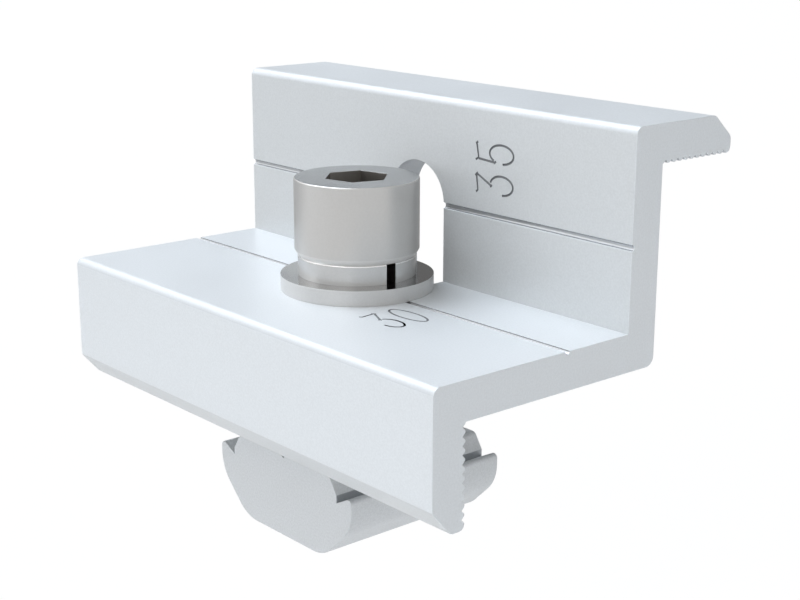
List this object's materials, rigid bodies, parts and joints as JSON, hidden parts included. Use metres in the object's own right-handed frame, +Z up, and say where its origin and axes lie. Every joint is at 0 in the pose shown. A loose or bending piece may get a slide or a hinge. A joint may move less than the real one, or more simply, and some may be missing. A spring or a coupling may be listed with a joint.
{
  "type": "solar end clamp",
  "caption": "Z-section extruded end clamp with toothed lips, held to a rail by a socket screw, spring and flat washers and a barbed rail nut.",
  "frame": {"origin": "on the screw's axis, in the plane of the rail's top, where the clamp's foot stands", "axes": "+X along the extrusion, +Y from the foot towards the module, +Z up along the screw towards its head"},
  "size_m": [0.06, 0.0383, 0.0448],
  "materials": {
    "clamp_aluminium": "satin anodised",
    "stainless_steel": "satin turned",
    "nut_aluminium": "matt, as extruded"
  },
  "bodies": {
    "clamp": {"clamp_body": "clamp_aluminium"},
    "washers": {"flat_washer": "stainless_steel", "spring_washer": "stainless_steel"},
    "screw": {"socket_screw": "stainless_steel"},
    "nut": {"rail_nut": "nut_aluminium"}
  },
  "joints": [
    {"name": "screw_lift", "type": "slide", "parent": "clamp", "child": "washers", "axis": [0, 0, 1], "range_m": [0, 0.0048]},
    {"name": "screw_turn", "type": "hinge", "parent": "washers", "child": "screw", "pos_m": [0, 0, 0.0175], "axis": [0, 0, -1], "range_deg": [-1080, 2160]},
    {"name": "nut_travel", "type": "slide", "parent": "washers", "child": "nut", "axis": [0, 0, 1], "range_m": [-0.0038, 0.0076]}
  ],
  "couplings": [
    {"joint": "nut_travel", "follows": "screw_turn", "m_per_rad": 0.00019894}
  ]
}
